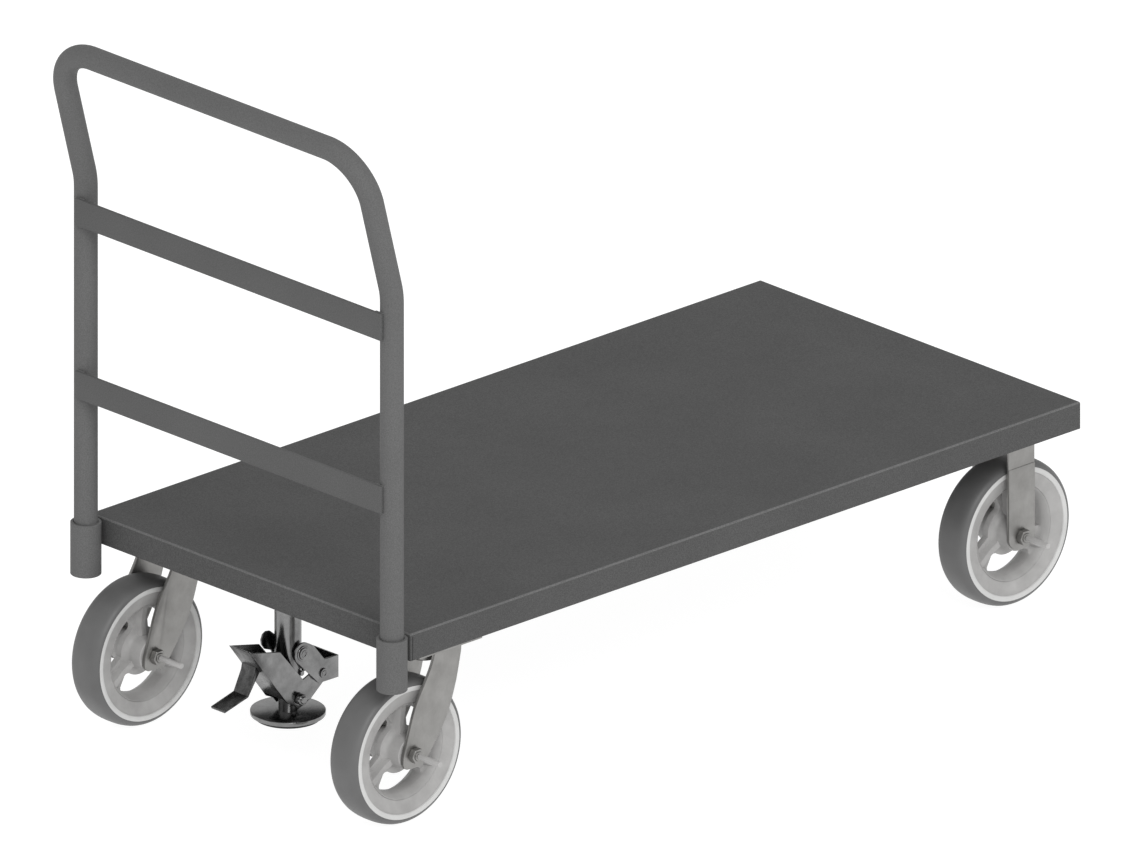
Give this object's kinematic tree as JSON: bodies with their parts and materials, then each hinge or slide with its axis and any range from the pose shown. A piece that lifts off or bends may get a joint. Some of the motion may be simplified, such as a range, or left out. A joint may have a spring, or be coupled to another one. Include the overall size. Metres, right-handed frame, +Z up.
{
  "type": "platform cart",
  "caption": "Flat steel platform cart with a lift-out tube push handle, swivel casters and floor lock at the handle end, and rigid casters at the other.",
  "frame": {"origin": "on the floor under the middle of the cart's outline", "axes": "+X along the platform away from the handle, +Y to the left of the person who pushes, +Z up"},
  "size_m": [1.3435, 0.6628, 0.9855],
  "materials": {
    "charcoal_paint": "fine textured powder coat",
    "polyurethane_tread": "satin polyurethane",
    "cast_wheel_core": "pale grey painted casting",
    "zinc_plated_steel": "zinc plated",
    "chrome_plate": "bright plated",
    "rubber_pad": "matt",
    "bearing_steel": "ground"
  },
  "bodies": {
    "deck": {"deck_pan": "charcoal_paint", "deck_stiffeners": "charcoal_paint", "front_channel": "charcoal_paint", "handle_socket_left": "charcoal_paint", "handle_socket_right": "charcoal_paint", "kingpin_left": "zinc_plated_steel", "kingpin_nut_left": "zinc_plated_steel", "kingpin_nut_right": "zinc_plated_steel", "kingpin_right": "zinc_plated_steel", "lock_plate": "chrome_plate", "lock_return_spring": "chrome_plate", "lock_studs": "chrome_plate", "lock_tube": "chrome_plate", "plate_bolts": "zinc_plated_steel", "plate_washers": "zinc_plated_steel", "rear_channel": "charcoal_paint", "rigid_axle_nuts": "zinc_plated_steel", "rigid_axles": "zinc_plated_steel", "rigid_fork_left": "zinc_plated_steel", "rigid_fork_right": "zinc_plated_steel", "rigid_grease_tubes": "zinc_plated_steel", "rigid_sleeves": "bearing_steel", "socket_stops": "charcoal_paint", "swivel_balls_left": "bearing_steel", "swivel_balls_right": "bearing_steel", "swivel_plate_left": "zinc_plated_steel", "swivel_plate_right": "zinc_plated_steel"},
    "handle": {"handle_tube": "charcoal_paint", "upper_crossbar": "charcoal_paint", "lower_crossbar": "charcoal_paint"},
    "lock_plunger": {"lock_stem": "chrome_plate", "lock_foot_disc": "chrome_plate", "lock_foot_pad": "rubber_pad", "pedal_pin": "chrome_plate"},
    "lock_link": {"link_yoke": "chrome_plate", "knee_rivet": "chrome_plate"},
    "lock_pedal": {"pedal_yoke": "chrome_plate", "foot_lever": "chrome_plate"},
    "swivel_caster_left": {"swivel_fork_left": "zinc_plated_steel", "swivel_axle_left": "zinc_plated_steel", "swivel_sleeve_left": "bearing_steel", "swivel_axle_nuts_left": "zinc_plated_steel", "swivel_grease_tubes_left": "zinc_plated_steel"},
    "swivel_wheel_left": {"swivel_left_wheel_core": "cast_wheel_core", "swivel_left_tyre": "polyurethane_tread", "swivel_left_bearing": "bearing_steel"},
    "rigid_wheel_left": {"rigid_left_wheel_core": "cast_wheel_core", "rigid_left_tyre": "polyurethane_tread", "rigid_left_bearing": "bearing_steel"},
    "swivel_caster_right": {"swivel_fork_right": "zinc_plated_steel", "swivel_axle_right": "zinc_plated_steel", "swivel_sleeve_right": "bearing_steel", "swivel_axle_nuts_right": "zinc_plated_steel", "swivel_grease_tubes_right": "zinc_plated_steel"},
    "swivel_wheel_right": {"swivel_right_wheel_core": "cast_wheel_core", "swivel_right_tyre": "polyurethane_tread", "swivel_right_bearing": "bearing_steel"},
    "rigid_wheel_right": {"rigid_right_wheel_core": "cast_wheel_core", "rigid_right_tyre": "polyurethane_tread", "rigid_right_bearing": "bearing_steel"}
  },
  "joints": [
    {"name": "handle_lift", "type": "slide", "parent": "deck", "child": "handle", "axis": [0, 0, 1], "range_m": [0, 0.09]},
    {"name": "swivel_left_turn", "type": "hinge", "parent": "deck", "child": "swivel_caster_left", "pos_m": [-0.50125, 0.2461, 0.237], "axis": [0, 0, 1], "continuous": true},
    {"name": "swivel_left_roll", "type": "hinge", "parent": "swivel_caster_left", "child": "swivel_wheel_left", "pos_m": [-0.55335, 0.2461, 0.1016], "axis": [0, 1, 0], "continuous": true},
    {"name": "rigid_left_roll", "type": "hinge", "parent": "deck", "child": "rigid_wheel_left", "pos_m": [0.57005, 0.2277, 0.1016], "axis": [0, 1, 0], "continuous": true},
    {"name": "swivel_right_turn", "type": "hinge", "parent": "deck", "child": "swivel_caster_right", "pos_m": [-0.50125, -0.2461, 0.237], "axis": [0, 0, 1], "continuous": true},
    {"name": "swivel_right_roll", "type": "hinge", "parent": "swivel_caster_right", "child": "swivel_wheel_right", "pos_m": [-0.55335, -0.2461, 0.1016], "axis": [0, 1, 0], "continuous": true},
    {"name": "rigid_right_roll", "type": "hinge", "parent": "deck", "child": "rigid_wheel_right", "pos_m": [0.57005, -0.2277, 0.1016], "axis": [0, 1, 0], "continuous": true},
    {"name": "lock_drop", "type": "slide", "parent": "deck", "child": "lock_plunger", "axis": [0, 0, -1], "range_m": [0, 0.031], "stiffness_N_per_m": 900, "springref_m": -0.03, "deforming": ["lock_return_spring"]},
    {"name": "lock_link_turn", "type": "hinge", "parent": "deck", "child": "lock_link", "pos_m": [-0.50895, 0, 0.15965], "axis": [0, 1, 0], "range_deg": [0, 25]},
    {"name": "lock_pedal_turn", "type": "hinge", "parent": "lock_plunger", "child": "lock_pedal", "pos_m": [-0.51395, 0, 0.09665], "axis": [0, -1, 0], "range_deg": [0, 30.6]}
  ],
  "couplings": [
    {"joint": "lock_link_turn", "follows": "lock_drop", "rad_per_m": 14.07},
    {"joint": "lock_pedal_turn", "follows": "lock_drop", "rad_per_m": 17.2}
  ]
}
